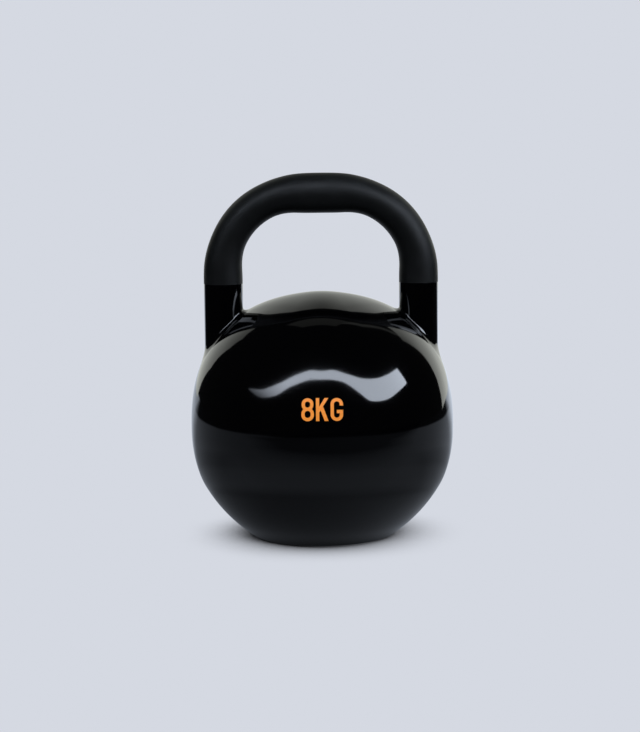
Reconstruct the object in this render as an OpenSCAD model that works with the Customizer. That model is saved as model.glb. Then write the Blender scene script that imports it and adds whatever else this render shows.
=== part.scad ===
// Competition-pattern kettlebell of 8 kg.
// A hollow ball of two pressed steel half shells carries a bent tube handle. Poured ballast
// in the bowl brings it to its weight, a plug closes the filler neck in the base, a gloss
// vinyl coat covers the ball and the legs, and a matt layer covers the grip.
// +Z is up, the floor is Z = 0, and the weight mark faces -Y.

/* [Ball] */
// Outside diameter of the ball, over its coat
ball_d = 210; // [206:1:230]
// Height of the ball's crown above the floor
crown_h = 196; // [190:1:200]
// Height of the straight belt between the two half balls
belt_h = 4.75; // [1:0.25:8]
// Angle below the belt at which the bowl's shoulder begins
shoulder_from = 20; // [14:1:24]
// Angle below the belt at which the shoulder ends and the flank begins
shoulder_to = 30; // [26:1:36]
// Radius of the shoulder
shoulder_r = 54; // [40:1:90]
// Angle below the belt at which the flatter flank ends at the rounded edge
flank_to = 55.5; // [50:0.5:60]
// Radius of the rounded edge round the underside
base_edge_r = 5; // [4:0.5:9]

/* [Handle] */
// Height of the handle's top above the floor
handle_h = 289.5; // [280:0.5:305]
// Width across the outsides of the two legs
handle_w = 186.5; // [176:0.5:188]
// Outside diameter of the handle tube
tube_d = 28; // [25:0.5:30]
// Wall of the handle tube
tube_t = 4; // [2:0.25:6]
// Bend radius of the two corners, at the middle of the tube
bend_r = 60.5; // [50:0.5:68]
// How far each side of the tube draws in at the middle of a bend
bend_squash = 2.1; // [0:0.1:3]
// Length of straight tube that a bend draws in at each of its ends
bend_lead = 7; // [2:0.5:9]
// Length over which the tube goes from round to fully drawn in
bend_ease = 36; // [25:1:50]
// Length of tube below the point where its axis enters the ball's cavity
tube_tail = 31; // [28:1:40]

/* [Coat and grip] */
// Thickness of the gloss coat on the ball and the legs
coat_t = 1.5; // [0.5:0.25:2]
// Thickness of the matt grip layer on the tube
grip_t = 1.5; // [0.5:0.25:3]
// Height above the crown at which the coat on the legs meets the grip layer
grip_line = 7; // [4:0.5:10]

/* [Shells] */
// Wall of the two pressed half shells
shell_t = 5; // [3:0.25:7]
// Gap round the tube in its hole in the upper shell
tube_fit = 0.25; // [0.1:0.05:0.6]
// Width of the backing strip behind the girth seam
strip_w = 20; // [12:1:30]
// Thickness of the backing strip
strip_t = 3; // [2:0.5:5]

/* [Welds] */
// Width of the girth weld at the outside of the shells
seam_w = 8; // [5:0.5:12]
// Width of the girth weld at its root
seam_root = 1.5; // [0.5:0.25:3]
// Width of the fillet weld round each leg, along the ball
fillet_reach = 11; // [6:0.5:13]
// Height of the fillet weld where it meets the leg
fillet_rise = 5; // [2:0.5:9]
// Share by which the fillet grows towards the middle and shrinks outwards
fillet_lean = 0.3; // [0:0.05:0.4]

/* [Ballast and filler] */
// Depth of the ballast above the shell's floor
ballast_h = 33; // [15:1:60]
// Outside diameter of the filler neck
neck_d = 40; // [36:1:44]
// Rise of the filler neck above the ballast
neck_rise = 5; // [2:1:15]
// Bore of the filler neck
neck_bore = 20; // [16:1:24]
// Diameter of the plug's head
plug_head_d = 28; // [26:0.5:32]
// Thickness of the plug's head
plug_head_t = 2.5; // [1.5:0.25:4]
// Length of the plug's shank
plug_shank = 16; // [12:1:24]
// Gap round the shank for its thread
thread_gap = 0.1; // [0.05:0.05:0.2]
// Size across the flats of the plug's hexagon socket
socket_af = 10; // [8:1:12]
// Depth of the hexagon socket
socket_depth = 6; // [4:0.5:9]
// Thickness of the sealing washer
washer_t = 1; // [0.5:0.25:2]
// Gap round the plug's head, and the depth to which it is sunk
head_gap = 0.5; // [0.3:0.1:1]

/* [Base pad] */
// Outside diameter of the rubber base pad
pad_d = 90; // [70:1:96]
// Diameter of the hole in the pad over the filler plug
pad_hole_d = 48; // [46:1:60]
// Thickness of the pad
pad_t = 2.5; // [2.25:0.25:4]
// Gap between the pad's rim and the coat
pad_fit = 0.3; // [0.1:0.1:0.8]
// Number of round grooves in the pad's underside
groove_count = 4; // [1:1:5]
// Width of each groove
groove_w = 1.4; // [0.8:0.1:1.8]
// Depth of each groove
groove_depth = 0.8; // [0.4:0.1:1.2]

/* [Weight mark] */
// Height of the characters
mark_h = 17.4; // [12:0.2:24]
// Width of each character
mark_w = 9.4; // [7:0.1:13]
// Width of the strokes
mark_stroke = 2.5; // [1.6:0.1:3]
// Space between two characters
mark_gap = 1.6; // [1:0.1:4]
// Angle of the mark's middle above the belt
mark_lat = 13.8; // [8:0.2:25]
// Thickness of the paint
mark_t = 0.3; // [0.1:0.05:0.5]

/* [Hidden] */

$fn = 240;
bend_sides = 40;     // facets round the tube in a bend
bend_rings = 14;     // steps along a bend
fillet_sides = 48;   // facets round a leg's fillet
fillet_rings = 9;    // steps across a fillet
fillet_edge = 0.8;   // step across a fillet at which it dives into the ball
fillet_foot = 0.985; // step across a fillet, on the other side, at which it dives into the leg
dive = 2;            // how far a fillet's or a bend's closed ends lie inside its neighbours
bend_step = 0.03;    // step by which a bend starts inside the straight tube's face
past = 1;            // how far a cutter reaches past what it cuts
least_edge = 1;      // radius of an inner edge whose wall is thicker than the outer one
overlap = 10;        // angle by which the two half balls' slices run into the belt
lap = 0.002;         // how far the small circles of the ball's section reach into its face
meeting = 1;         // angle by which the shoulder's slice runs into its neighbours
edge_share = 0.9;    // share of the ball's top, outside a leg, that a fillet may take up

ball_r = ball_d / 2;
upper_z = crown_h - ball_r;          // centre of the upper half ball
lower_z = upper_z - belt_h;          // centre of the lower half ball
seam_z = (upper_z + lower_z) / 2;
base_gap = pad_t - coat_t;           // gap between the coated underside and the floor
steel_in = coat_t;                   // depth of the shells' outer face below the coat's
cavity_in = coat_t + shell_t;        // depth of the shells' inner face below the coat's
steel_r = ball_r - steel_in;
cavity_r = ball_r - cavity_in;
shoulder_z = lower_z - (ball_r - shoulder_r) * sin(shoulder_from);
shoulder_foot = shoulder_z - shoulder_r * sin(shoulder_to);
edge_dip = base_edge_r * (1 - sin(flank_to));
flank_r = (shoulder_foot - base_gap - edge_dip) / (sin(flank_to) - sin(shoulder_to));

tube_r = tube_d / 2;
grip_r = tube_r + grip_t;
leg_x = handle_w / 2 - grip_r;       // axis of each leg
top_z = handle_h - grip_r;           // axis of the straight top
line_z = crown_h + grip_line;        // height of the line where the coat meets the grip layer
turn_r = min(bend_r, top_z - line_z - bend_lead);  // bend radius that the legs have room for
bend_z = top_z - turn_r;             // height at which the bends begin
top_half = leg_x - turn_r;           // half the length of the straight top
tube_foot = upper_z + sqrt(pow(cavity_r, 2) - pow(leg_x, 2)) - tube_tail;

floor_z = pad_t + shell_t;           // inside floor of the bowl
ballast_z = floor_z + ballast_h;
neck_top = ballast_z + neck_rise;
head_z = pad_t + head_gap;           // underside of the plug's head
seat_z = head_z + plug_head_t + washer_t;
hex_r = socket_af / 2 / cos(30);

coat_black = "#17181a";
grip_black = "#2b2c2e";
rubber_black = "#3a3a3c";
steel_grey = "#8e9296";
weld_grey = "#b9bcc0";
ballast_grey = "#a39c90";
brass_yellow = "#c9a550";
paint_orange = "#f2963d";

// A slice of a circle between two angles less than 180 degrees apart
module slice(r, from, to) {
    reach = 4 * r;
    middle = (from + to) / 2;
    intersection() {
        circle(r = r);
        polygon([
            [0, 0],
            reach * [cos(from), sin(from)],
            reach * [cos(middle), sin(middle)],
            reach * [cos(to), sin(to)]
        ]);
    }
}

// Half section of the whole ball, its faces lying depth inside the coat's outer face.
// Below the belt, four arcs follow each other smoothly: bowl, shoulder, flank and edge.
module ball_section(depth) {
    bowl = [0, lower_z];
    shoulder = bowl + (ball_r - shoulder_r) * [cos(shoulder_from), -sin(shoulder_from)];
    flank = shoulder + (shoulder_r - flank_r) * [cos(shoulder_to), -sin(shoulder_to)];
    foot = base_gap + depth;
    edge_r = max(base_edge_r - depth, least_edge);
    drop = flank[1] - foot - edge_r;
    reach = sqrt(pow(flank_r - depth - edge_r, 2) - drop * drop);
    edge = flank + [reach, -drop];
    meet = atan2(-drop, reach);
    inside = shoulder + [past, 0];
    intersection() {
        union() {
            translate([0, upper_z]) slice(ball_r - depth, -overlap, 90);
            translate(bowl) square([ball_r - depth, belt_h]);
            translate(bowl) slice(ball_r - depth, -shoulder_from, overlap);
            translate(shoulder)
                slice(shoulder_r - depth + lap, -shoulder_to - meeting, meeting - shoulder_from);
            translate(flank) slice(flank_r - depth, meet, -shoulder_to);
            translate(edge) circle(r = edge_r + lap);
            polygon([[0, foot], [edge[0], foot], edge, inside, [0, upper_z]]);
            polygon([inside, flank, edge]);
        }
        translate([0, foot]) square([ball_r, crown_h]);
    }
}

module ball(depth) {
    rotate_extrude() ball_section(depth);
}

// Half section of the steel wall of both shells
module wall_section() {
    difference() {
        ball_section(steel_in);
        ball_section(cavity_in);
    }
}

// The vee between the two shells, open at the outside and extended past both faces
module vee_section() {
    flare = (seam_w - seam_root) / 2 / shell_t;
    inner = seam_root / 2 - flare * past;
    outer = seam_w / 2 + flare * past;
    polygon([
        [cavity_r - past, seam_z - inner],
        [steel_r + past, seam_z - outer],
        [steel_r + past, seam_z + outer],
        [cavity_r - past, seam_z + inner]
    ]);
}

// Both legs' places
module at_legs() {
    for (side = [-1, 1]) translate([side * leg_x, 0, 0]) children();
}

// Skins a stack of rings with equal counts of points, and closes it with a point at each
// end. Each ring turns clockwise for someone who looks back from the last ring.
module skinned(rings, first, last) {
    sides = len(rings[0]);
    count = len(rings);
    points = [for (ring = rings) for (p = ring) p, first, last];
    start = count * sides;
    walls = [
        for (i = [0 : count - 2]) for (j = [0 : sides - 1])
            let (a = i * sides, k = (j + 1) % sides) [a + j, a + k, a + sides + k, a + sides + j]
    ];
    first_cap = [for (j = [0 : sides - 1]) [start, (j + 1) % sides, j]];
    top = (count - 1) * sides;
    last_cap = [for (j = [0 : sides - 1]) [start + 1, top + j, top + (j + 1) % sides]];
    polyhedron(points = points, faces = concat(walls, first_cap, last_cap), convexity = 6);
}

// One bend with its leads, from the +X leg to the straight top. The tube keeps its full
// thickness across Y, and draws in by bend_squash on each side where it is bent.
module bend(r) {
    run = turn_r * PI / 2;
    wide = r - bend_step;
    function turn(s) = 90 * min(max(s / run, 0), 1);
    function middle(s) =
        let (a = turn(s), up = min(s, 0), in = max(s - run, 0))
            [top_half + turn_r * cos(a) - in, 0, bend_z + turn_r * sin(a) + up];
    function smooth(q) = q * q * (3 - 2 * q);
    function half(s) =
        wide - bend_squash * smooth(min((min(s, run - s) + bend_lead) / bend_ease, 1));
    function ring(s, narrow) =
        let (out = [cos(turn(s)), 0, sin(turn(s))])
            [for (j = [0 : bend_sides - 1])
                let (t = 360 * j / bend_sides)
                    middle(s) + narrow * cos(t) * out - wide * sin(t) * [0, 1, 0]];
    from = -bend_lead - dive;
    to = run + bend_lead + dive;
    between = [
        for (i = [0 : bend_rings])
            let (s = (run + 2 * bend_lead) * i / bend_rings - bend_lead) ring(s, half(s))
    ];
    skinned(concat([ring(from, wide)], between, [ring(to, wide)]), middle(from), middle(to));
}

// The whole arch of the handle as a solid rod, its legs reaching down to foot
module arch(r, foot) {
    straight = top_half - bend_lead;
    translate([0, 0, foot]) at_legs() cylinder(r = r, h = bend_z - bend_lead - foot);
    bend(r);
    mirror([1, 0, 0]) bend(r);
    translate([-straight, 0, top_z]) rotate([0, 90, 0]) cylinder(r = r, h = 2 * straight);
}

// Fillet between one leg and the ball at a depth below the coat's face. It swells smoothly
// out of the ball and meets the leg in a corner: at step m from 1 on the ball to -1 on the
// leg, the face lies reach/2 (1+m) off the leg and rise/4 (1-m)^2 off the ball. The reach is
// limited by the width of the ball's top outside the leg.
module fillet(depth) {
    leg_r = tube_r + coat_t - depth;
    r = ball_r - depth;
    swell = 1 / cos(180 / fillet_sides);
    function room(t) = sqrt(r * r - pow(leg_x * sin(t), 2)) - leg_x * cos(t) - leg_r;
    function reach(t) =
        min(fillet_reach * (1 - fillet_lean * cos(t)), edge_share * room(t));
    function off(t, m) = reach(t) / 2 * (1 + m);
    function rise(m) = fillet_rise / 4 * pow(1 - m, 2);
    function ball_z(x, y, m) = upper_z + sqrt(pow(r + rise(m), 2) - x * x - y * y);
    function point(t, m) =
        let (
            p = leg_r + off(t, m),
            x = leg_x + p * cos(t),
            y = p * sin(t)
        )
            [leg_x + p * swell * cos(t), p * swell * sin(t), ball_z(x, y, m)];
    angles = [for (j = [0 : fillet_sides - 1]) -360 * j / fillet_sides];
    steps = [
        for (i = [0 : fillet_rings])
            fillet_edge - (fillet_edge + fillet_foot) * i / fillet_rings
    ];
    low = [for (t = angles) point(t, fillet_edge) - [0, 0, dive]];
    high = [
        for (t = angles)
            let (p = point(t, -fillet_foot))
                [leg_x + (leg_r - dive) * cos(t), (leg_r - dive) * sin(t), p[2]]
    ];
    between = [for (m = steps) [for (t = angles) point(t, m)]];
    first = [leg_x, 0, min([for (p = low) p[2]])];
    last = [leg_x, 0, max([for (p = high) p[2]])];
    skinned(concat([low], between, [high]), first, last);
}

module fillets(depth) {
    fillet(depth);
    mirror([1, 0, 0]) fillet(depth);
}

// Everything inside a face that lies depth below the coat's, with legs up to top
module body_form(depth, top) {
    ball(depth);
    fillets(depth);
    translate([0, 0, seam_z]) at_legs() cylinder(r = tube_r + coat_t - depth, h = top - seam_z);
}

module lower_shell() {
    color(steel_grey) rotate_extrude() difference() {
        wall_section();
        vee_section();
        translate([0, seam_z]) square([ball_r, crown_h]);
        square([neck_d / 2, floor_z + past]);
    }
}

module upper_shell() {
    color(steel_grey) difference() {
        rotate_extrude() difference() {
            wall_section();
            vee_section();
            square([ball_r, seam_z]);
        }
        translate([0, 0, seam_z + past]) at_legs() cylinder(r = tube_r + tube_fit, h = ball_r);
    }
}

module backing_strip() {
    color(steel_grey) rotate_extrude() intersection() {
        ball_section(cavity_in);
        translate([cavity_r - strip_t, seam_z - strip_w / 2]) square([strip_t, strip_w]);
    }
}

module seam_weld() {
    color(weld_grey) rotate_extrude() intersection() {
        wall_section();
        vee_section();
    }
}

module handle_tube() {
    color(steel_grey) difference() {
        arch(tube_r, tube_foot);
        arch(tube_r - tube_t, tube_foot - past);
    }
}

module handle_welds() {
    color(weld_grey) difference() {
        fillets(steel_in);
        ball(steel_in);
        translate([0, 0, seam_z]) at_legs() cylinder(r = tube_r, h = crown_h);
    }
}

module ballast() {
    color(ballast_grey) rotate_extrude() difference() {
        ball_section(cavity_in);
        translate([0, ballast_z]) square([ball_r, crown_h]);
        square([neck_d / 2, ballast_z + past]);
    }
}

module filler_neck() {
    color(steel_grey) rotate_extrude() difference() {
        translate([0, pad_t]) square([neck_d / 2, neck_top - pad_t]);
        square([neck_bore / 2, neck_top + past]);
        square([plug_head_d / 2 + head_gap, seat_z]);
    }
}

module filler_plug() {
    color(brass_yellow) difference() {
        translate([0, 0, head_z]) {
            cylinder(d = plug_head_d, h = plug_head_t);
            cylinder(d = neck_bore - 2 * thread_gap, h = plug_head_t + plug_shank);
        }
        translate([0, 0, head_z - past]) cylinder(r = hex_r, h = socket_depth + past, $fn = 6);
    }
}

module plug_washer() {
    color(rubber_black) rotate_extrude()
        translate([neck_bore / 2 + head_gap, head_z + plug_head_t])
            square([(plug_head_d - neck_bore) / 2 - 2 * head_gap, washer_t]);
}

module base_pad() {
    tread = (pad_d - pad_hole_d) / 2;
    pitch = tread / (groove_count + 1);
    color(rubber_black) rotate_extrude() difference() {
        translate([pad_hole_d / 2, 0]) square([tread, pad_t]);
        for (i = [1 : groove_count])
            translate([pad_hole_d / 2 + i * pitch - groove_w / 2, -past])
                square([groove_w, groove_depth + past]);
    }
}

module gloss_coat() {
    color(coat_black) difference() {
        body_form(0, line_z);
        body_form(steel_in, line_z + past);
        cylinder(d = pad_d + 2 * pad_fit, h = pad_t + past);
    }
}

module grip_sleeve() {
    color(grip_black) difference() {
        arch(grip_r, line_z);
        arch(tube_r, line_z - past);
    }
}

// A closed ring with round ends
module bowl(w, h) {
    module pill(w, h) {
        for (y = [w / 2, h - w / 2]) translate([w / 2, y]) circle(d = w);
        translate([0, w / 2]) square([w, h - w]);
    }
    difference() {
        pill(w, h);
        translate([mark_stroke, mark_stroke]) pill(w - 2 * mark_stroke, h - 2 * mark_stroke);
    }
}

module figure_eight() {
    waist = mark_h * 0.52;
    upper_w = mark_w * 0.94;
    bowl(mark_w, max(mark_w, waist + mark_stroke / 2));
    translate([(mark_w - upper_w) / 2, waist - mark_stroke / 2])
        bowl(upper_w, mark_h - waist + mark_stroke / 2);
}

module letter_k() {
    fork = mark_h * 0.42;
    knee = mark_h * 0.62;
    knee_in = mark_w * 0.32;
    knee_out = mark_w * 0.52;
    slant = mark_stroke * 1.15;
    square([mark_stroke, mark_h]);
    polygon([
        [mark_stroke / 2, fork - slant],
        [mark_w, mark_h],
        [mark_w - slant, mark_h],
        [mark_stroke / 2, fork + slant / 2]
    ]);
    polygon([
        [mark_w - slant, 0],
        [mark_w, 0],
        [knee_out, knee + slant / 2],
        [knee_in, knee - slant / 2]
    ]);
}

module letter_g() {
    bar = mark_h * 0.48;
    mouth = mark_h * 0.67;
    difference() {
        bowl(mark_w, mark_h);
        translate([mark_w / 2, bar]) square([mark_w, mouth - bar]);
    }
    translate([mark_w / 2, bar - mark_stroke]) square([mark_w / 2, mark_stroke]);
}

module mark_outline() {
    pitch = mark_w + mark_gap;
    translate([-1.5 * mark_w - mark_gap, -mark_h / 2]) {
        figure_eight();
        translate([pitch, 0]) letter_k();
        translate([2 * pitch, 0]) letter_g();
    }
}

module weight_mark() {
    stand_off = ball_r * 0.9;
    color(paint_orange) translate([0, 0, upper_z]) intersection() {
        rotate([90 - mark_lat, 0, 0]) translate([0, 0, stand_off])
            linear_extrude(height = ball_r - stand_off + mark_t + past) mark_outline();
        difference() {
            sphere(r = ball_r + mark_t);
            sphere(r = ball_r);
        }
    }
}

lower_shell();
upper_shell();
backing_strip();
seam_weld();
handle_tube();
handle_welds();
ballast();
filler_neck();
filler_plug();
plug_washer();
base_pad();
gloss_coat();
grip_sleeve();
weight_mark();
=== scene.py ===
"""A gloss-coated kettlebell with a matt grip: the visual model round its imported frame."""

import math

import bmesh
import bpy
from bpy.props import FloatProperty, FloatVectorProperty, IntProperty, PointerProperty
from mathutils import Matrix, Vector
from mathutils.kdtree import KDTree


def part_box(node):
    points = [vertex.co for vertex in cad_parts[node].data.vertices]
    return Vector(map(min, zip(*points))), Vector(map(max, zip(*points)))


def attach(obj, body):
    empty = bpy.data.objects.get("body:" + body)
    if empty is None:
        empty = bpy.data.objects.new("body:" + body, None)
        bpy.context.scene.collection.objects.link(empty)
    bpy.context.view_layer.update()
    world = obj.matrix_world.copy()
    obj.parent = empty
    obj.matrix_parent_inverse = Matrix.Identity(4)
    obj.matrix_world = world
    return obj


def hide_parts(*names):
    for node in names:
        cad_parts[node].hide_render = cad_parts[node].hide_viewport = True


bl_info = {
    "name": "Kettlebell",
    "version": (1, 0, 0),
    "blender": (4, 5, 0),
    "location": "3D View > Sidebar > Kettlebell",
    "description": "Builds the pieces, finishes and studio of a coated kettlebell",
    "category": "Add Mesh",
}

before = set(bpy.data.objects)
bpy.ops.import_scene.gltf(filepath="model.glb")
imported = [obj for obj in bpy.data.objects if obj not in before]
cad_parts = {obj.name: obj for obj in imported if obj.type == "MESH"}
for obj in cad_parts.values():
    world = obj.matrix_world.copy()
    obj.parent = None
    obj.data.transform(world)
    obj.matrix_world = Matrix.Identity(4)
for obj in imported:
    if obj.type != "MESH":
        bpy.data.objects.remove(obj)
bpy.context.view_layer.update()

COAT_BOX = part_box("gloss_coat")
GRIP_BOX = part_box("grip_sleeve")
PAD_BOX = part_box("base_pad")

BALL_R = COAT_BOX[1].x
UNDERSIDE_Z = COAT_BOX[0].z
LINE_Z = GRIP_BOX[0].z
GRIP_R = GRIP_BOX[1].y
LEG_X = GRIP_BOX[1].x - GRIP_R
TOP_Z = GRIP_BOX[1].z - GRIP_R
PAD_R = PAD_BOX[1].x

# Vertices closer than this are one, faces that turn by less are one, and edges that turn
# by more are rounded. The grip's edges that turn by more stay sharp. A slope is measured
# over a nudge to either side.
MERGE = 1e-6
FLAT = math.radians(0.5)
SHARP = math.radians(40)
GRIP_SHARP = math.radians(35)
NUDGE = 1e-4


# Sizes and colours that a user would change


class KettlebellBall(bpy.types.PropertyGroup):
    """Sizes of the coated ball"""

    radius: FloatProperty(
        name="Radius", description="Radius of the coated ball",
        default=BALL_R, min=0.05, max=0.2, unit="LENGTH", precision=4,
    )
    upper_z: FloatProperty(
        name="Upper centre", description="Height of the upper half ball's centre",
        default=0.091, min=0.03, max=0.2, unit="LENGTH", precision=4,
    )
    lower_z: FloatProperty(
        name="Lower centre", description="Height of the lower half ball's centre",
        default=0.08625, min=0.03, max=0.2, unit="LENGTH", precision=4,
    )
    shoulder_from: FloatProperty(
        name="Shoulder from", description="Angle below the belt at which the shoulder begins",
        default=math.radians(20), min=0.0, max=1.5, unit="ROTATION",
    )
    shoulder_to: FloatProperty(
        name="Shoulder to", description="Angle below the belt at which the shoulder ends",
        default=math.radians(30), min=0.0, max=1.5, unit="ROTATION",
    )
    flank_to: FloatProperty(
        name="Flank to", description="Angle below the belt at which the flatter flank ends",
        default=math.radians(55.5), min=0.0, max=1.5, unit="ROTATION",
    )
    shoulder_r: FloatProperty(
        name="Shoulder radius", description="Radius of the shoulder",
        default=0.054, min=0.02, max=0.2, unit="LENGTH", precision=4,
    )
    edge_r: FloatProperty(
        name="Edge radius", description="Radius of the edge round the underside",
        default=0.005, min=0.001, max=0.02, unit="LENGTH", precision=4,
    )
    boss: FloatProperty(
        name="Boss height", description="Height of the gentle boss pressed round each leg",
        default=0.004, min=0.0, max=0.01, unit="LENGTH", precision=4,
    )
    boss_reach: FloatProperty(
        name="Boss reach", description="Angle at the ball's centre over which a boss fades out",
        default=math.radians(41), min=0.2, max=0.74, unit="ROTATION",
    )
    wall: FloatProperty(
        name="Coat thickness", description="Thickness of the gloss coat",
        default=0.0015, min=0.0002, max=0.004, unit="LENGTH", precision=4,
    )
    recess_r: FloatProperty(
        name="Recess radius", description="Radius of the coat's opening round the base pad",
        default=PAD_R + 0.0003, min=0.02, max=0.1, unit="LENGTH", precision=4,
    )
    segments: IntProperty(
        name="Segments", description="Steps round the ball", default=192, min=48, max=384,
    )
    arc_step: FloatProperty(
        name="Arc step", description="Length of a step along the ball's section",
        default=0.0034, min=0.001, max=0.01, unit="LENGTH", precision=4,
    )


class KettlebellHandle(bpy.types.PropertyGroup):
    """Sizes of the handle and of the fillets at its legs"""

    leg_x: FloatProperty(
        name="Leg axis", description="Distance of each leg's axis from the middle",
        default=LEG_X, min=0.03, max=0.15, unit="LENGTH", precision=4,
    )
    top_z: FloatProperty(
        name="Top axis", description="Height of the straight top's axis",
        default=TOP_Z, min=0.1, max=0.4, unit="LENGTH", precision=4,
    )
    line_z: FloatProperty(
        name="Grip line", description="Height of the line where coat and grip meet",
        default=LINE_Z, min=0.1, max=0.3, unit="LENGTH", precision=4,
    )
    radius: FloatProperty(
        name="Radius", description="Radius of the handle over its grip",
        default=GRIP_R, min=0.008, max=0.03, unit="LENGTH", precision=4,
    )
    wall: FloatProperty(
        name="Grip thickness", description="Thickness of the matt grip layer",
        default=0.0015, min=0.0002, max=0.004, unit="LENGTH", precision=4,
    )
    bend_r: FloatProperty(
        name="Bend radius", description="Radius of the two bends at the tube's middle",
        default=0.0605, min=0.02, max=0.09, unit="LENGTH", precision=4,
    )
    draw_in: FloatProperty(
        name="Draw in", description="How far the tube's two sides draw in at a bend",
        default=0.0016, min=0.0, max=0.004, unit="LENGTH", precision=4,
    )
    swell: FloatProperty(
        name="Swell", description="How far the grip swells above the middle of the straight top",
        default=0.0008, min=0.0, max=0.003, unit="LENGTH", precision=4,
    )
    lead: FloatProperty(
        name="Lead", description="Length of straight tube that a bend draws in",
        default=0.007, min=0.0, max=0.02, unit="LENGTH", precision=4,
    )
    ease: FloatProperty(
        name="Ease", description="Length over which the tube goes from round to drawn in",
        default=0.036, min=0.005, max=0.08, unit="LENGTH", precision=4,
    )
    fillet: FloatProperty(
        name="Fillet reach", description="Width of the fillet round each leg, along the ball",
        default=0.005, min=0.002, max=0.02, unit="LENGTH", precision=4,
    )
    rise: FloatProperty(
        name="Fillet rise", description="Height of the fillet where it meets the leg",
        default=0.002, min=0.001, max=0.02, unit="LENGTH", precision=4,
    )
    corner: FloatProperty(
        name="Corner", description="Distance over which the coat rounds the fillet's inner corner",
        default=0.0016, min=0.0001, max=0.004, unit="LENGTH", precision=4,
    )
    lean: FloatProperty(
        name="Fillet lean", description="Share by which the fillet grows towards the middle",
        default=0.2, min=0.0, max=0.5, subtype="FACTOR",
    )
    sides: IntProperty(
        name="Sides", description="Steps round the grip", default=96, min=24, max=192,
    )


class KettlebellLook(bpy.types.PropertyGroup):
    """Colours of the visible finishes"""

    coat: FloatVectorProperty(
        name="Coat", description="Colour of the gloss coat", subtype="COLOR",
        size=3, min=0.0, max=1.0, default=(0.0004, 0.0004, 0.0006),
    )
    grip: FloatVectorProperty(
        name="Grip", description="Colour of the matt grip layer", subtype="COLOR",
        size=3, min=0.0, max=1.0, default=(0.0014, 0.0019, 0.0021),
    )
    mark: FloatVectorProperty(
        name="Mark", description="Colour of the painted weight mark", subtype="COLOR",
        size=3, min=0.0, max=1.0, default=(0.87, 0.27, 0.02),
    )
    rubber: FloatVectorProperty(
        name="Rubber", description="Colour of the base pad", subtype="COLOR",
        size=3, min=0.0, max=1.0, default=(0.022, 0.022, 0.023),
    )


class KettlebellStudio(bpy.types.PropertyGroup):
    """The studio round the kettlebell"""

    pale: FloatVectorProperty(
        name="Pale ground", description="Colour of the floor and the backdrop", subtype="COLOR",
        size=3, min=0.0, max=1.0, default=(0.665, 0.693, 0.760),
    )
    distance: FloatProperty(
        name="Camera distance", description="Distance of the camera from the ball's axis",
        default=1.6, min=0.5, max=5.0, unit="LENGTH",
    )
    elevation: FloatProperty(
        name="Camera elevation", description="Angle of the camera above the ball's belt",
        default=math.radians(9), min=-1.5, max=1.5, unit="ROTATION",
    )
    roll: FloatProperty(
        name="Camera roll", description="Roll of the camera about its view",
        default=math.radians(-0.6), min=-0.5, max=0.5, unit="ROTATION",
    )
    lens: FloatProperty(
        name="Lens", description="Focal length in millimetres", default=97.8, min=20.0, max=300.0,
    )
    lamp: FloatProperty(
        name="Ribbon lamp", description="Brightness of the bowed lamp that the gloss mirrors",
        default=18.0, min=0.0, max=60.0,
    )


# Modelling helpers


def settings():
    """The sizes of the ball and of the handle."""
    return bpy.context.scene.kettlebell_ball, bpy.context.scene.kettlebell_handle


def deselect_all():
    """Leaves edit mode and selects nothing."""
    if bpy.context.object is not None and bpy.context.object.mode != "OBJECT":
        bpy.ops.object.mode_set(mode="OBJECT")
    bpy.ops.object.select_all(action="DESELECT")


def only(obj):
    """Makes one object the selected and active one."""
    deselect_all()
    obj.select_set(True)
    bpy.context.view_layer.objects.active = obj


def draw_section(name, points):
    """Draws a chain of edges in the XZ plane, point by point, and leaves it in edit mode."""
    deselect_all()
    bpy.ops.mesh.primitive_plane_add(size=0.001, location=points[0])
    obj = bpy.context.object
    obj.name = obj.data.name = name
    bpy.ops.object.transform_apply(location=True, rotation=True, scale=True)
    bpy.ops.object.mode_set(mode="EDIT")
    bpy.ops.mesh.merge(type="CENTER")
    for a, b in zip(points, points[1:]):
        step = Vector(b) - Vector(a)
        bpy.ops.mesh.extrude_region_move(TRANSFORM_OT_translate={"value": step})
    return obj


def spin_section(steps):
    """Spins the drawn section once round Z and closes its seam and poles."""
    bpy.ops.mesh.select_all(action="SELECT")
    bpy.ops.mesh.spin(steps=steps, angle=math.tau, center=(0, 0, 0), axis=(0, 0, 1))
    bpy.ops.mesh.select_all(action="SELECT")
    bpy.ops.mesh.remove_doubles(threshold=MERGE)
    bpy.ops.mesh.normals_make_consistent(inside=False)


def arc(centre, radius, start, end, step):
    """Points of an arc in the XZ plane after its first one, angles up from +X."""
    count = max(2, math.ceil(abs(end - start) * radius / step))
    angles = [start + (end - start) * (i + 1) / count for i in range(count)]
    return [
        (centre[0] + radius * math.cos(a), 0.0, centre[1] + radius * math.sin(a)) for a in angles
    ]


def straight(a, b, step):
    """Points from a to b after the first one."""
    a, b = Vector(a), Vector(b)
    count = max(1, math.ceil((b - a).length / step))
    return [tuple(a.lerp(b, (i + 1) / count)) for i in range(count)]


def solidify(obj, wall):
    """Gives a skin its wall, inwards."""
    only(obj)
    wall_mod = obj.modifiers.new("wall", "SOLIDIFY")
    wall_mod.thickness = wall
    wall_mod.offset = -1.0
    wall_mod.use_even_offset = True
    bpy.ops.object.modifier_apply(modifier=wall_mod.name)


def walk(edges):
    """The vertices of one closed loop of edges, in order."""
    beside = {}
    for e in edges:
        for v in e.verts:
            beside.setdefault(v, []).append(e.other_vert(v))
    first = edges[0].verts[0]
    loop, here = [first], beside[first][0]
    while here is not first:
        loop.append(here)
        here = next(v for v in beside[here] if v is not loop[-2])
    return loop


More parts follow.
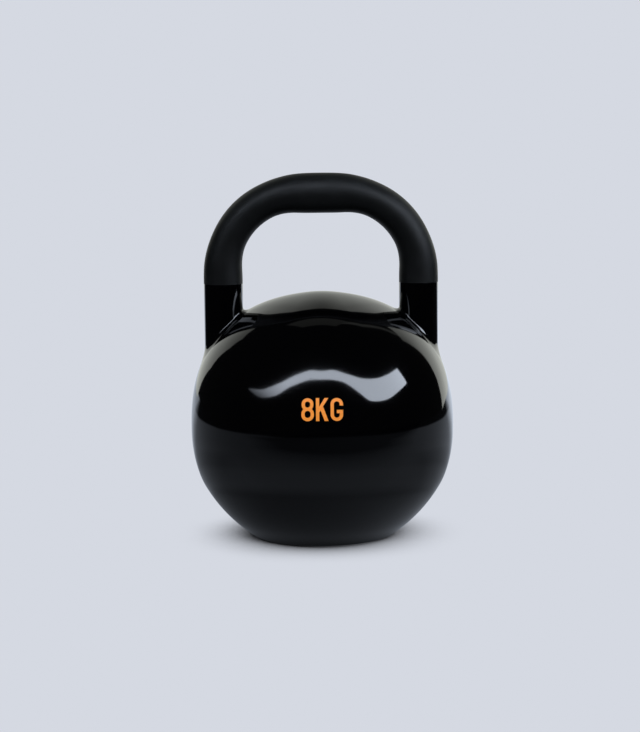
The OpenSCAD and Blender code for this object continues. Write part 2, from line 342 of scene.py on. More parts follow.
def softened(node, name, width):
    """A copy of a CAD node with its sharp edges rounded."""
    obj = bpy.data.objects.new(name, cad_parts[node].data.copy())
    obj.data.name = name
    bpy.context.scene.collection.objects.link(obj)
    obj.data.materials.clear()
    only(obj)
    bpy.ops.object.mode_set(mode="EDIT")
    bpy.ops.mesh.select_all(action="SELECT")
    bpy.ops.mesh.remove_doubles(threshold=MERGE)
    bpy.ops.mesh.dissolve_limited(angle_limit=FLAT)
    bpy.ops.object.mode_set(mode="OBJECT")
    edge = obj.modifiers.new("edge", "BEVEL")
    edge.width = width
    edge.segments = 2
    edge.limit_method = "ANGLE"
    edge.angle_limit = SHARP
    bpy.ops.object.modifier_apply(modifier=edge.name)
    bpy.ops.object.shade_smooth_by_angle(angle=SHARP)
    return obj


def finish_node(obj, material):
    """Gives a CAD node its finish."""
    obj.data.materials.clear()
    obj.data.materials.append(material)


# Shapes of the ball, its fillets, its legs and the grip


def ball_arcs(ball):
    """Centres of the section's arcs and the flank's radius, as (x, z) pairs."""
    bowl = Vector((0.0, ball.lower_z))

    def heading(angle):
        return Vector((math.cos(angle), -math.sin(angle)))

    shoulder = bowl + (ball.radius - ball.shoulder_r) * heading(ball.shoulder_from)
    foot = shoulder.y - ball.shoulder_r * math.sin(ball.shoulder_to) - UNDERSIDE_Z
    dip = ball.edge_r * (1 - math.sin(ball.flank_to))
    flank_r = (foot - dip) / (math.sin(ball.flank_to) - math.sin(ball.shoulder_to))
    flank = shoulder + (ball.shoulder_r - flank_r) * heading(ball.shoulder_to)
    edge = flank + (flank_r - ball.edge_r) * heading(ball.flank_to)
    return bowl, shoulder, flank, edge, flank_r


def ball_section(ball):
    """Section of the coat's outer face, from the base pad's recess up to the crown."""
    bowl, shoulder, flank, edge, flank_r = ball_arcs(ball)
    step, fine = ball.arc_step, ball.edge_r / 6
    points = [(ball.recess_r, 0.0, UNDERSIDE_Z)]
    points += straight(points[0], (edge.x, 0.0, UNDERSIDE_Z), step)
    points += arc(edge, ball.edge_r, -math.pi / 2, -ball.flank_to, fine)
    points += arc(flank, flank_r, -ball.flank_to, -ball.shoulder_to, step)
    points += arc(shoulder, ball.shoulder_r, -ball.shoulder_to, -ball.shoulder_from, step)
    points += arc(bowl, ball.radius, -ball.shoulder_from, 0.0, step)
    points += straight(points[-1], (ball.radius, 0.0, ball.upper_z), step)
    points += arc((0.0, ball.upper_z), ball.radius, 0.0, math.pi / 2, step)
    points[-1] = (0.0, 0.0, ball.upper_z + ball.radius)
    return points


def boss_height(ball, handle, out):
    """Height of the bosses above the plain ball, in a direction from the upper centre."""
    lean = handle.leg_x / ball.radius
    foot = Vector((lean, 0.0, math.sqrt(1 - lean * lean)))
    share = min(foot.angle(Vector((abs(out.x), out.y, out.z))) / ball.boss_reach, 1.0)
    return ball.boss * (1 - share * share) ** 2


def upper_point(ball, handle, out):
    """The coat's face in a direction from the upper centre."""
    centre = Vector((0.0, 0.0, ball.upper_z))
    return centre + out * (ball.radius + boss_height(ball, handle, out))


def upper_normal(ball, handle, out):
    """Outward normal of the upper half with its bosses."""
    first = out.orthogonal().normalized()
    second = out.cross(first)
    steps = []
    for way in (first, second):
        ends = [(out + side * NUDGE * way).normalized() for side in (1, -1)]
        steps.append(upper_point(ball, handle, ends[0]) - upper_point(ball, handle, ends[1]))
    return steps[0].cross(steps[1]).normalized()


def fillet_reach(handle, t):
    """Width of the fillet at an angle t round the leg from its outer side."""
    return handle.fillet * (1 - handle.lean * math.cos(t))


def fillet_profile(handle, reach, m):
    """Distance off the leg and height off the ball at step m, from 1 on the ball to -1 on the leg."""

    def swell(off):
        return handle.rise * (1 - off / reach) ** 2

    corner = handle.corner
    corner_from = -0.7
    if m >= corner_from:
        off = corner + (reach - corner) * (m - corner_from) / (1 - corner_from)
        return off, swell(off)
    share = (corner_from - m) / (corner_from + 1)
    start = Vector((corner, swell(corner)))
    slope = -2 * handle.rise / reach * (1 - corner / reach)
    middle = Vector((0.0, start.y - slope * corner))
    end = middle + Vector((0.0, (middle - start).length))
    point = start.lerp(middle, share).lerp(middle.lerp(end, share), share)
    return point.x, point.y


def fillet_point(ball, handle, side, t, m):
    """A point of the fillet, at an angle t round the leg from its outer side."""
    off, rise = fillet_profile(handle, fillet_reach(handle, t), m)
    x = handle.leg_x + (handle.radius + off) * math.cos(t)
    y = (handle.radius + off) * math.sin(t)
    out, height = Vector((x, y, 0.0)), rise + ball.boss
    # The boss depends on the direction and the direction on the boss, so they settle together
    for _ in range(6):
        out.z = math.sqrt((ball.radius + height) ** 2 - x * x - y * y)
        height = rise + boss_height(ball, handle, out)
    return Vector((side * x, y, ball.upper_z + out.z))


def fillet_normal(ball, handle, side, t, m):
    """Outward normal of the fillet."""
    m = min(max(m, NUDGE - 1), 1 - NUDGE)

    def slope(dt, dm):
        ahead = fillet_point(ball, handle, 1, t + dt, m + dm)
        return ahead - fillet_point(ball, handle, 1, t - dt, m - dm)

    n = slope(0.0, NUDGE).cross(slope(NUDGE, 0.0)).normalized()
    return Vector((side * n.x, n.y, n.z))


def beyond_fillet(ball, handle, t, gap):
    """A point on the ball, a gap further from the leg than the fillet's edge."""
    centre = Vector((0.0, 0.0, ball.upper_z))
    out = (fillet_point(ball, handle, 1, t, 1) - centre).normalized()
    away = Vector((math.cos(t), math.sin(t), 0.0))
    away = (away - out * away.dot(out)).normalized()
    turn = gap / ball.radius
    return upper_point(ball, handle, out * math.cos(turn) + away * math.sin(turn))


def ball_normal(ball, handle, point):
    """Outward normal of the ball's face at a point near it."""
    if point.z >= ball.upper_z:
        out = (point - Vector((0.0, 0.0, ball.upper_z))).normalized()
        return upper_normal(ball, handle, out)
    r = math.hypot(point.x, point.y)
    bowl, shoulder, flank, edge, _ = ball_arcs(ball)
    flat = Vector((r, point.z))
    if point.z >= ball.lower_z:
        away = Vector((1.0, 0.0))
    elif math.atan2(bowl.y - flat.y, r) <= ball.shoulder_from:
        away = flat - bowl
    elif math.atan2(shoulder.y - flat.y, r - shoulder.x) <= ball.shoulder_to:
        away = flat - shoulder
    elif math.atan2(flank.y - flat.y, r - flank.x) <= ball.flank_to:
        away = flat - flank
    elif r > edge.x:
        away = flat - edge
    else:
        away = Vector((0.0, -1.0))
    away.normalize()
    return Vector((point.x / r * away.x, point.y / r * away.x, away.y))


def wrapped(angle):
    """An angle brought to within half a turn of 0."""
    return (angle + math.pi) % math.tau - math.pi


def open_leg_hole(bm, ball, handle, side):
    """Takes away the ball's faces under one leg and rounds the hole's edge."""
    margin = ball.arc_step * 0.9
    rim_gap = 1.6 * margin
    # The open end of a leg that is already grown lies at the grip line and is no rim
    rim_top = handle.line_z - 0.001

    def inside(co):
        if co.z < ball.upper_z:
            return False
        here = Vector((side * co.x, co.y, co.z))
        t = math.atan2(here.y, here.x - handle.leg_x)
        p = math.hypot(here.y, here.x - handle.leg_x)
        edge = fillet_point(ball, handle, 1, t, 1)
        return p < handle.radius + fillet_reach(handle, t) or (here - edge).length < margin

    def on_rim(co):
        return side * co.x > 0 and ball.upper_z < co.z < rim_top

    gone = [f for f in bm.faces if any(inside(v.co) for v in f.verts)]
    bmesh.ops.delete(bm, geom=gone, context="FACES")
    loop = walk([e for e in bm.edges if e.is_boundary and on_rim(e.verts[0].co)])
    # The rim's vertices are spread evenly round the leg, turned to where they fit best
    count = len(loop)
    turns = [math.atan2(v.co.y, side * v.co.x - handle.leg_x) for v in loop]
    span = sum(wrapped(b - a) for a, b in zip(turns, turns[1:] + turns[:1]))
    whole = math.tau if span > 0 else -math.tau
    drift = sum(wrapped(t - turns[0] - whole * i / count) for i, t in enumerate(turns)) / count
    even = [turns[0] + drift + whole * i / count for i in range(count)]
    for v, t in zip(loop, even):
        place = beyond_fillet(ball, handle, t, rim_gap)
        v.co = (side * place.x, place.y, place.z)
    return loop, even


def grow_leg(bm, ball, handle, side):
    """Extrudes the hole's edge ring by ring, over the fillet and up the leg.

    Returns each new point with its outward normal.
    """
    loop, turns = open_leg_hole(bm, ball, handle, side)
    fillet_rings, leg_rings = 26, 12
    rings, normals = [], []
    for i in range(fillet_rings + 1):
        m = 1 - 2 * i / fillet_rings
        rings.append([fillet_point(ball, handle, side, t, m) for t in turns])
        normals.append([fillet_normal(ball, handle, side, t, m) for t in turns])
    foot = rings[-1]
    for i in range(leg_rings):
        share = (i + 1) / leg_rings
        rings.append([Vector((p.x, p.y, p.z + (handle.line_z - p.z) * share)) for p in foot])
        normals.append([Vector((side * math.cos(t), math.sin(t), 0.0)) for t in turns])
    for ring in rings:
        edges = [bm.edges.get((a, b)) for a, b in zip(loop, loop[1:] + loop[:1])]
        made = bmesh.ops.extrude_edge_only(bm, edges=edges)["geom"]
        fresh = {v for v in made if isinstance(v, bmesh.types.BMVert)}
        following = []
        for v in loop:
            following.append(next(e.other_vert(v) for e in v.link_edges if e.other_vert(v) in fresh))
        for v, place in zip(following, ring):
            v.co = place
        loop = following
    return [pair for ring in zip(rings, normals) for pair in zip(*ring)]


def settle_normals(obj, ball, handle, grown):
    """Sets the coat's normals from its true shape, so that reflections run smoothly.

    The fillets and legs have the normals that they were grown with, and the inner skin
    right behind them has the same ones turned round. The rims stay flat.
    """
    mesh = obj.data
    same_place, skin_gap, aligned = 1e-5, 1.5 * ball.wall, 0.7
    tree = KDTree(len(grown))
    for i, (place, _) in enumerate(grown):
        tree.insert(place, i)
    tree.balance()

    def true_normal(point):
        _, nearest, gap = tree.find(point)
        by_leg = gap < same_place or (gap < skin_gap and point.z > ball.upper_z)
        return grown[nearest][1] if by_leg else ball_normal(ball, handle, point)

    known = [true_normal(v.co) for v in mesh.vertices]
    normals = []
    for face in mesh.polygons:
        mean = sum((known[i] for i in face.vertices), Vector())
        facing = face.normal.dot(mean.normalized())
        way = math.copysign(1.0, facing)
        for i in face.vertices:
            normals.append(tuple(way * known[i] if abs(facing) > aligned else face.normal))
    mesh.normals_split_custom_set(normals)


def draw_in_bends(obj, handle, bend_z, half_top):
    """Draws the tube in at its bends, within their plane, and swells it at the top."""
    bend_run = handle.bend_r * math.pi / 2
    swell_reach = 2.0 * half_top
    for v in obj.data.vertices:
        x, z = abs(v.co.x), v.co.z
        side = 1 if v.co.x >= 0 else -1
        here = Vector((x, z))
        # The axis next to the vertex, the way out of the bend and the distance along it
        if z <= bend_z:
            middle, out = Vector((handle.leg_x, z)), Vector((1.0, 0.0))
            along = z - bend_z
        elif x <= half_top:
            middle, out = Vector((x, handle.top_z)), Vector((0.0, 1.0))
            along = bend_run + half_top - x
        else:
            out = Vector((x - half_top, z - bend_z)).normalized()
            middle = Vector((half_top, bend_z)) + handle.bend_r * out
            along = math.atan2(out.y, out.x) * handle.bend_r
        across = (here - middle).dot(out)
        eased = (min(along, bend_run - along) + handle.lead) / handle.ease
        eased = min(max(eased, 0.0), 1.0)
        drawn = handle.draw_in * eased * eased * (3 - 2 * eased) / handle.radius
        top_share = max(1 - (x / swell_reach) ** 2, 0.0) if z > bend_z else 0.0
        moved = here - out * across * drawn
        moved += out * handle.swell * top_share**2 * max(across, 0.0) / handle.radius
        v.co.x, v.co.z = side * moved.x, moved.y


# The pieces


class KETTLEBELL_OT_coat(bpy.types.Operator):
    """Gloss coat over the ball and the legs, one smooth skin with blended fillets"""

    bl_idname = "kettlebell.coat"
    bl_label = "Gloss coat"

    def execute(self, context):
        ball, handle = settings()
        obj = draw_section("coat", ball_section(ball))
        spin_section(ball.segments)
        bm = bmesh.from_edit_mesh(obj.data)
        centre = Vector((0.0, 0.0, ball.upper_z))
        for v in bm.verts:
            if v.co.z > ball.upper_z:
                v.co = upper_point(ball, handle, (v.co - centre).normalized())
        grown = grow_leg(bm, ball, handle, -1) + grow_leg(bm, ball, handle, 1)
        bmesh.update_edit_mesh(obj.data)
        bpy.ops.mesh.select_all(action="SELECT")
        bpy.ops.mesh.normals_make_consistent(inside=False)
        bpy.ops.object.mode_set(mode="OBJECT")
        solidify(obj, ball.wall)
        only(obj)
        bpy.ops.object.shade_smooth()
        settle_normals(obj, ball, handle, grown)
        obj.data.materials.append(coat_material())
        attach(obj, "root")
        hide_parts("gloss_coat")
        return {"FINISHED"}


class KETTLEBELL_OT_grip(bpy.types.Operator):
    """Matt grip layer over the whole arch of the handle"""

    bl_idname = "kettlebell.grip"
    bl_label = "Grip layer"

    def execute(self, context):
        _, handle = settings()
        bend_z = handle.top_z - handle.bend_r
        half_top = handle.leg_x - handle.bend_r
        step = 0.0025
        deselect_all()
        bpy.ops.mesh.primitive_circle_add(
            vertices=handle.sides, radius=handle.radius,
            location=(handle.leg_x, 0, handle.line_z),
        )
        obj = bpy.context.object
        obj.name = obj.data.name = "grip"
        bpy.ops.object.transform_apply(location=True, rotation=True, scale=True)
        bpy.ops.object.mode_set(mode="EDIT")
        bpy.ops.mesh.select_all(action="SELECT")

        def push(way, length):
            count = max(1, round(length / step))
            for _ in range(count):
                bpy.ops.mesh.extrude_region_move(
                    TRANSFORM_OT_translate={"value": Vector(way) * length / count}
                )

        def turn(centre_x):
            bpy.ops.mesh.spin(
                steps=round(handle.bend_r * math.pi / 2 / step), angle=math.pi / 2,
                center=(centre_x, 0, bend_z), axis=(0, 1, 0),
            )

        push((0, 0, 1), bend_z - handle.line_z)
        turn(half_top)
        push((-1, 0, 0), 2 * half_top)
        turn(-half_top)
        push((0, 0, -1), bend_z - handle.line_z)
        bpy.ops.mesh.select_all(action="SELECT")
        bpy.ops.mesh.remove_doubles(threshold=MERGE)
        bpy.ops.mesh.normals_make_consistent(inside=False)
        bpy.ops.object.mode_set(mode="OBJECT")
        draw_in_bends(obj, handle, bend_z, half_top)
        solidify(obj, handle.wall)
        only(obj)
        bpy.ops.object.shade_smooth_by_angle(angle=GRIP_SHARP)
        obj.data.materials.append(grip_material())
        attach(obj, "root")
        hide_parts("grip_sleeve")
        return {"FINISHED"}


class KETTLEBELL_OT_mark(bpy.types.Operator):
    """Painted weight mark on the front of the ball"""

    bl_idname = "kettlebell.mark"
    bl_label = "Weight mark"

    def execute(self, context):
        finish_node(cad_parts["weight_mark"], mark_material())
        return {"FINISHED"}


class KETTLEBELL_OT_base(bpy.types.Operator):
    """Rubber base pad and the filler plug inside it, with softened edges"""

    bl_idname = "kettlebell.base"
    bl_label = "Base pad and plug"

    def execute(self, context):
        look = context.scene.kettlebell_look
        brass = metal_material("plug_brass", (0.66, 0.47, 0.2), 0.28, 1.0)
        rounding = 0.0003
        pad = softened("base_pad", "pad", rounding)
        pad.data.materials.append(rubber_material("pad_rubber", look.rubber, 900.0))
        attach(pad, "root")
        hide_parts("base_pad")
        plug = softened("filler_plug", "plug", rounding)
        plug.data.materials.append(brass)
        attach(plug, "root")
        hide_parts("filler_plug")
        return {"FINISHED"}


class KETTLEBELL_OT_inside(bpy.types.Operator):
    """Finishes of the pieces inside the coat"""

    bl_idname = "kettlebell.inside"
    bl_label = "Inner pieces"

    def execute(self, context):
        steel = metal_material("pressed_steel", (0.30, 0.31, 0.32), 0.42, 0.9)
        drawn = metal_material("drawn_steel", (0.48, 0.49, 0.50), 0.33, 1.0)
        weld = metal_material("ground_weld", (0.56, 0.56, 0.57), 0.30, 1.0)
        rubber = rubber_material("washer_rubber", (0.02, 0.02, 0.02), 1400.0)
        finishes = {
            "lower_shell": steel, "upper_shell": steel, "backing_strip": steel,
            "handle_tube": drawn, "filler_neck": drawn,
            "seam_weld": weld, "handle_welds": weld,
            "ballast": ballast_material(), "plug_washer": rubber,
        }
        for node, material in finishes.items():
            finish_node(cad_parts[node], material)
        return {"FINISHED"}


# Shader nodes


def empty_material(name):
    """A material with nothing in its node tree but its output."""
    mat = bpy.data.materials.new(name)
    mat.use_nodes = True
    tree = mat.node_tree
    tree.nodes.clear()
    return mat, tree, tree.nodes.new("ShaderNodeOutputMaterial").inputs["Surface"]


def new_material(name):
    """A material with its own Principled shader and Object coordinates."""
    mat, tree, surface = empty_material(name)
    shader = tree.nodes.new("ShaderNodeBsdfPrincipled")
    place = tree.nodes.new("ShaderNodeTexCoord")
    tree.links.new(shader.outputs[0], surface)
    return mat, tree, shader, place.outputs["Object"]


def axes(tree):
    """The X, Y and Z of Object coordinates."""
    place = tree.nodes.new("ShaderNodeTexCoord")
    split = tree.nodes.new("ShaderNodeSeparateXYZ")
    tree.links.new(place.outputs["Object"], split.inputs[0])
    return split.outputs


def noise(tree, vector, scale, detail=2.0, rough=0.5):
    """Soft noise at a scale, in cells per metre."""
    node = tree.nodes.new("ShaderNodeTexNoise")
    node.inputs["Scale"].default_value = scale
    node.inputs["Detail"].default_value = detail
    node.inputs["Roughness"].default_value = rough
    tree.links.new(vector, node.inputs["Vector"])
    return node.outputs["Fac"]


def dots(tree, vector, scale, core, edge):
    """Scattered round dots: 0 within a core, 1 beyond an edge, as shares of a cell."""
    node = tree.nodes.new("ShaderNodeTexVoronoi")
    node.inputs["Scale"].default_value = scale
    tree.links.new(vector, node.inputs["Vector"])
    return ramp(tree, node.outputs["Distance"], 0.0, 1.0, core, edge)


def ramp(tree, value, low, high, start=0.0, end=1.0):
    """Maps a value from start..end to low..high and holds it there."""
    node = tree.nodes.new("ShaderNodeMapRange")
    node.inputs["From Min"].default_value = start
    node.inputs["From Max"].default_value = end
    node.inputs["To Min"].default_value = low
    node.inputs["To Max"].default_value = high
    tree.links.new(value, node.inputs["Value"])
    return node.outputs[0]


def worked(tree, operation, *values):
    """The result of a maths node. Each value is a socket or a number."""
    node = tree.nodes.new("ShaderNodeMath")
    node.operation = operation
    for socket, value in zip(node.inputs, values):
        if isinstance(value, float):
            socket.default_value = value
        else:
            tree.links.new(value, socket)
    return node.outputs[0]


def measured(tree, operation, vector, line=(0.0, 0.0, 0.0)):
    """A vector's length, or its reach along a line."""
    node = tree.nodes.new("ShaderNodeVectorMath")
    node.operation = operation
    node.inputs[1].default_value = line
    tree.links.new(vector, node.inputs[0])
    return node.outputs["Value"]


def blend(tree, value, low, high):
    """Mixes two colours by a value. The mix node's colours are sockets 6 and 7, and 2 comes out."""
    node = tree.nodes.new("ShaderNodeMix")
    node.data_type = "RGBA"
    node.inputs[6].default_value = (*low, 1)
    node.inputs[7].default_value = (*high, 1)
    tree.links.new(value, node.inputs[0])
    return node.outputs[2]


def shaded(colour, share):
    """A colour times a share."""
    return tuple(c * share for c in colour)


def mottled(tree, value, colour, low, high):
    """A colour that runs between two shares of itself."""
    return blend(tree, value, shaded(colour, low), shaded(colour, high))


def tone_run(tree, value, tint, first, last, between):
    """Tones of a tint that ease from stop to stop as a value runs from 0 to 1."""
    node = tree.nodes.new("ShaderNodeValToRGB")
    node.color_ramp.interpolation = "EASE"
    stops = node.color_ramp.elements
    stops[0].color = (*shaded(tint, first), 1)
    stops[1].color = (*shaded(tint, last), 1)
    for place, level in between:
        stops.new(place).color = (*shaded(tint, level), 1)
    tree.links.new(value, node.inputs[0])
    return node.outputs[0]


def scaled(tree, colour, share):
    """A colour socket times a share."""
    node = tree.nodes.new("ShaderNodeVectorMath")
    node.operation = "SCALE"
    tree.links.new(colour, node.inputs[0])
    tree.links.new(share, node.inputs["Scale"])
    return node.outputs[0]


def bump(tree, height, distance, before=None):
    """A normal from a height, on top of the one before it."""
    node = tree.nodes.new("ShaderNodeBump")
    node.inputs["Distance"].default_value = distance
    tree.links.new(height, node.inputs["Height"])
    if before is not None:
        tree.links.new(before, node.inputs["Normal"])
    return node.outputs[0]


def either(tree, share, first, second):
    """Mixes two shaders, the second one where the share is 1."""
    node = tree.nodes.new("ShaderNodeMixShader")
    for socket, value in zip(node.inputs, (share, first, second)):
        tree.links.new(value, socket)
    return node.outputs[0]


def set_finish(tree, shader, **sockets):
    """Links a Principled shader's colour, roughness and normal."""
    names = {"colour": "Base Color", "roughness": "Roughness", "normal": "Normal"}
    for name, value in sockets.items():
        tree.links.new(value, shader.inputs[names[name]])


# Finishes of the pieces


def coat_material():
    """Deep gloss vinyl: faint waves, a few pinholes and a slightly uneven polish."""
    look = bpy.context.scene.kettlebell_look
    mat, tree, shader, place = new_material("coat_vinyl")
    shader.inputs["IOR"].default_value = 1.5
    shader.inputs["Specular IOR Level"].default_value = 0.24
    haze = noise(tree, place, 14.0, 3.0)
    waves = bump(tree, noise(tree, place, 42.0, 1.0), 0.00012)
    set_finish(
        tree, shader,
        colour=mottled(tree, haze, look.coat, 0.8, 1.3),
        roughness=ramp(tree, haze, 0.045, 0.085, 0.35, 0.65),
        normal=bump(tree, dots(tree, place, 70.0, 0.01, 0.05), 0.00006, waves),
    )
    return mat


def grip_material():
    """Matt layer with a fine, even grain and a soft sheen."""
    look = bpy.context.scene.kettlebell_look
    mat, tree, shader, place = new_material("grip_layer")
    shader.inputs["IOR"].default_value = 1.5
    shader.inputs["Specular IOR Level"].default_value = 0.13
    patches = noise(tree, place, 60.0, 3.0)
    set_finish(
        tree, shader,
        colour=mottled(tree, patches, look.grip, 0.8, 1.25),
        roughness=ramp(tree, patches, 0.46, 0.56, 0.3, 0.7),
        normal=bump(tree, noise(tree, place, 2600.0, 2.0, 0.6), 0.00003),
    )
    return mat


def mark_material():
    """Opaque paint with a soft skin."""
    look = bpy.context.scene.kettlebell_look
    mat, tree, shader, place = new_material("mark_paint")
    shader.inputs["Specular IOR Level"].default_value = 0.3
    cover = noise(tree, place, 500.0, 3.0)
    set_finish(
        tree, shader,
        colour=mottled(tree, cover, look.mark, 0.93, 1.05),
        roughness=ramp(tree, cover, 0.32, 0.44),
        normal=bump(tree, cover, 0.00004),
    )
    return mat


def rubber_material(name, colour, grain_scale):
    """Moulded rubber: matt, slightly mottled, with a fine grain."""
    mat, tree, shader, place = new_material(name)
    shader.inputs["Specular IOR Level"].default_value = 0.35
    mottle = noise(tree, place, 120.0, 4.0)
    set_finish(
        tree, shader,
        colour=mottled(tree, mottle, colour, 0.75, 1.3),
        roughness=ramp(tree, mottle, 0.62, 0.82),
        normal=bump(tree, noise(tree, place, grain_scale, 3.0), 0.00008),
    )
    return mat


def metal_material(name, colour, roughness, metallic):
    """Worked metal with uneven tone and faint tool marks that run level round the piece."""
    mat, tree, shader, place = new_material(name)
    shader.inputs["Metallic"].default_value = metallic
    tone = noise(tree, place, 90.0, 5.0)
    squeeze = tree.nodes.new("ShaderNodeMapping")
    squeeze.inputs["Scale"].default_value = (1.0, 1.0, 14.0)
    tree.links.new(place, squeeze.inputs["Vector"])
    set_finish(
        tree, shader,
        colour=mottled(tree, tone, colour, 0.8, 1.12),
        roughness=ramp(tree, tone, roughness - 0.06, roughness + 0.12, 0.3, 0.7),
        normal=bump(tree, noise(tree, squeeze.outputs[0], 260.0), 0.00003),
    )
    return mat


def ballast_material():
    """Poured concrete with fine sand and scattered pores."""
    mat, tree, shader, place = new_material("ballast_concrete")
    shader.inputs["Roughness"].default_value = 0.9
    sand = noise(tree, place, 420.0, 6.0, 0.7)
    pores = dots(tree, place, 240.0, 0.1, 0.3)
    set_finish(
        tree, shader,
        colour=blend(tree, sand, (0.25, 0.24, 0.22), (0.52, 0.50, 0.46)),
        normal=bump(tree, pores, 0.0005, bump(tree, sand, 0.0004)),
    )
    return mat


# The studio: a cool light from the lamp and the floor, a warmer one from wall and ceiling

COOL = (0.91, 1.0, 1.15)
WARM = (0.97, 1.0, 0.94)


def new_glow(name):
    """A material with its own emission shader."""
    mat, tree, surface = empty_material(name)
    glow = tree.nodes.new("ShaderNodeEmission")
    tree.links.new(glow.outputs[0], surface)
    return mat, tree, glow


def glow_material(name, span, low, high, tint):
    """Plain glow for a studio card, from low to high over a span of X."""
    mat, tree, glow = new_glow(name)
    glow.inputs["Color"].default_value = (*tint, 1)
    tree.links.new(ramp(tree, axes(tree)["X"], low, high, *span), glow.inputs["Strength"])
    return mat


def wall_material():
    """The lit wall behind: darkest in the middle, brightest on the right, dimmer at its top."""
    mat, tree, glow = new_glow("wall_glow")
    glow.inputs["Strength"].default_value = 2.0
    half = 3.5
    levels = [
        (-1.5, 0.68), (-0.9, 0.62), (-0.5, 0.46), (0.0, 0.32), (0.5, 0.5), (0.9, 0.68),
        (1.5, 0.95), (2.4, 0.95),
    ]
    place = axes(tree)
    across = tone_run(
        tree, ramp(tree, place["X"], 0.0, 1.0, -half, half), WARM, 0.6, 0.7,
        [((x + half) / (2 * half), level) for x, level in levels],
    )
    upward = ramp(tree, place["Z"], 1.0, 0.66, 1.5, 2.8)
    tree.links.new(scaled(tree, across, upward), glow.inputs["Color"])
    return mat


def reflected_only(obj):
    """A studio card or lamp that only the gloss shows."""
    obj.visible_camera = False
    obj.visible_diffuse = False
    obj.visible_shadow = False
    obj.visible_transmission = False
    obj.visible_volume_scatter = False


def card(name, y, corners, material):
    """A flat upright card at a distance y, with its (x, z) corners in turn from the lower left."""
    deselect_all()
    bpy.ops.mesh.primitive_plane_add(size=1.0)
    obj = bpy.context.object
    obj.name = obj.data.name = name
    near_left, near_right, far_right, far_left = corners
    for v in obj.data.vertices:
        left, right = (far_left, far_right) if v.co.y > 0 else (near_left, near_right)
        x, z = right if v.co.x > 0 else left
        v.co = (x, y, z)
    obj.data.materials.append(material)
    reflected_only(obj)


def smooth_run(points, share):
    """A point at a share of the way along a smooth curve through the points."""
    place = share * (len(points) - 1)
    i = min(int(place), len(points) - 2)
    t = place - i
    a, b = points[max(i - 1, 0)], points[i]
    c, d = points[i + 1], points[min(i + 2, len(points) - 1)]
    return b + 0.5 * t * (c - a + t * (2 * a - 5 * b + 4 * c - d + t * (3 * (b - c) + d - a)))


def ribbon_lamp(studio):
    """The long bowed lamp over the front of the ball: pointed at its left end, broad at its right.

    Each station gives the angles above the horizon of its far and near edges as the top of
    the ball sees them. The stations stand at even bearings, from the left round to the right.
    """
    height, ball_top, forward = 1.5, 0.19, 0.05
    first_bearing, bearing_step = -75, 15
    stations = [
        (25, 25), (22, 28), (26, 36), (36, 45), (42, 51), (43, 51), (42, 51),
        (35, 46), (21, 39), (19, 36), (21, 35), (23, 34),
    ]

    def station(i, angle):
        bearing = math.radians(first_bearing + bearing_step * i)
        away = (height - ball_top) / math.tan(math.radians(angle)) + forward
        return Vector((away * math.sin(bearing), -away * math.cos(bearing), height))

    far = [station(i, angles[0]) for i, angles in enumerate(stations)]
    near = [station(i, angles[1]) for i, angles in enumerate(stations)]
    deselect_all()
    bpy.ops.mesh.primitive_grid_add(x_subdivisions=144, y_subdivisions=1, size=1.0)
    lamp = bpy.context.object
    lamp.name = lamp.data.name = "ribbon_lamp"
    for v in lamp.data.vertices:
        v.co = smooth_run(near if v.co.y > 0 else far, v.co.x + 0.5)
    fade, dim = (-2.7, -1.1), 0.15 * studio.lamp
    lamp.data.materials.append(glow_material("lamp_glow", fade, dim, studio.lamp, COOL))
    reflected_only(lamp)


class KETTLEBELL_OT_stage(bpy.types.Operator):
    """Pale floor, soft light, the lamp and cards that the gloss mirrors, and the camera"""

    bl_idname = "kettlebell.stage"
    bl_label = "Studio and camera"

    def execute(self, context):
        studio = context.scene.kettlebell_studio
        make_camera(context.scene, studio)
        make_world(context.scene, studio)
        make_floor(studio)
        make_lights(studio)
        return {"FINISHED"}


def make_camera(scene, studio):
    """The camera, a little above the belt and straight in front."""
    belt, aim = Vector((0.0, 0.0, 0.0875)), Vector((-0.0014, 0.0, 0.136))
    data = bpy.data.cameras.new("camera")
    data.lens = studio.lens
    data.clip_start, data.clip_end = 0.05, 50.0
    data.dof.use_dof = False
    camera = bpy.data.objects.new("camera", data)
    scene.collection.objects.link(camera)
    back = Vector((0.0, -math.cos(studio.elevation), math.sin(studio.elevation)))
    camera.location = belt + studio.distance * back
    look = (aim - camera.location).to_track_quat("-Z", "Y")
    camera.rotation_mode = "QUATERNION"
    camera.rotation_quaternion = look @ Matrix.Rotation(studio.roll, 3, "Z").to_quaternion()
    scene.camera = camera


def make_world(scene, studio):
    """The pale ground for the camera, even light for matt surfaces, a dark room in the gloss."""
    world = bpy.data.worlds.new("studio")
    scene.world = world
    world.use_nodes = True
    tree = world.node_tree
    tree.nodes.clear()

    def light(colour, strength):
        node = tree.nodes.new("ShaderNodeBackground")
        node.inputs["Color"].default_value = (*colour, 1)
        node.inputs["Strength"].default_value = strength
        return node.outputs[0]

    path = tree.nodes.new("ShaderNodeLightPath").outputs
    even = light((0.97, 0.98, 1.0), 0.8)
    dark_room = light((0.9, 0.95, 1.0), 0.015)
    unseen = either(tree, path["Is Glossy Ray"], even, dark_room)
    final = either(tree, path["Is Camera Ray"], unseen, light(studio.pale, 1.0))
    out = tree.nodes.new("ShaderNodeOutputWorld")
    tree.links.new(final, out.inputs["Surface"])


